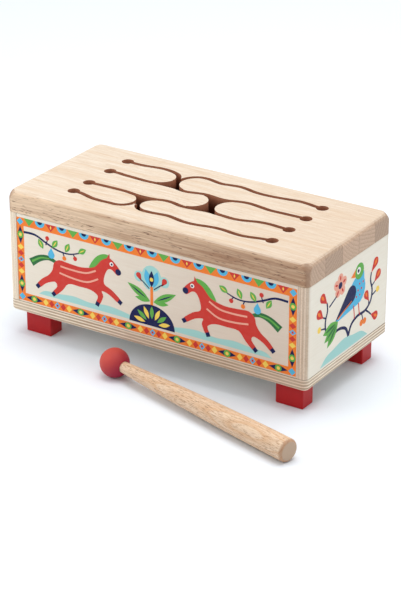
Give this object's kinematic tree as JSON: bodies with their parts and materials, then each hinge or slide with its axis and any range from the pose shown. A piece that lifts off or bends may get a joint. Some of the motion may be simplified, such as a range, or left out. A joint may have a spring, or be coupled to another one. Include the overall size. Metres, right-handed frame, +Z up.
{
  "type": "tongue drum with mallet",
  "caption": "Wooden slit drum: a plywood box on low feet under a thick solid wood plate cut into wavy round-tipped tongues, with a ball-headed mallet lying beside it.",
  "frame": {"origin": "on the table, in the middle of the rectangle that the drum and the mallet cover together", "axes": "+X along the drum's length to its right end, +Y from the drum's front to its back, +Z up"},
  "size_m": [0.3076, 0.2038, 0.126],
  "materials": {
    "plate_wood": "pale rubberwood, edge-glued staves, sanded and oiled",
    "plywood": "seven-ply birch, whitened face, bare edges with brown glue lines",
    "foot_paint": "wood under satin red paint",
    "screw_steel": "zinc-plated wood screw",
    "stick_wood": "turned beech, sanded",
    "ball_rubber": "matte red rubber",
    "print_ink": "flat printed ink, folk pattern in seven colours"
  },
  "bodies": {
    "drum": {"tongue_plate": "plate_wood", "front_panel": "plywood", "back_panel": "plywood", "left_end_panel": "plywood", "right_end_panel": "plywood", "bottom_panel": "plywood", "foot_front_left": "foot_paint", "foot_front_right": "foot_paint", "foot_back_left": "foot_paint", "foot_back_right": "foot_paint", "screw_front_left": "screw_steel", "screw_front_right": "screw_steel", "screw_back_left": "screw_steel", "screw_back_right": "screw_steel"},
    "mallet": {"mallet_stick": "stick_wood", "mallet_head": "ball_rubber"}
  },
  "joints": [
    {"name": "mallet_lift", "type": "slide", "parent": "drum", "child": "mallet", "axis": [0, 0, 1], "range_m": [0, 0.2]}
  ]
}
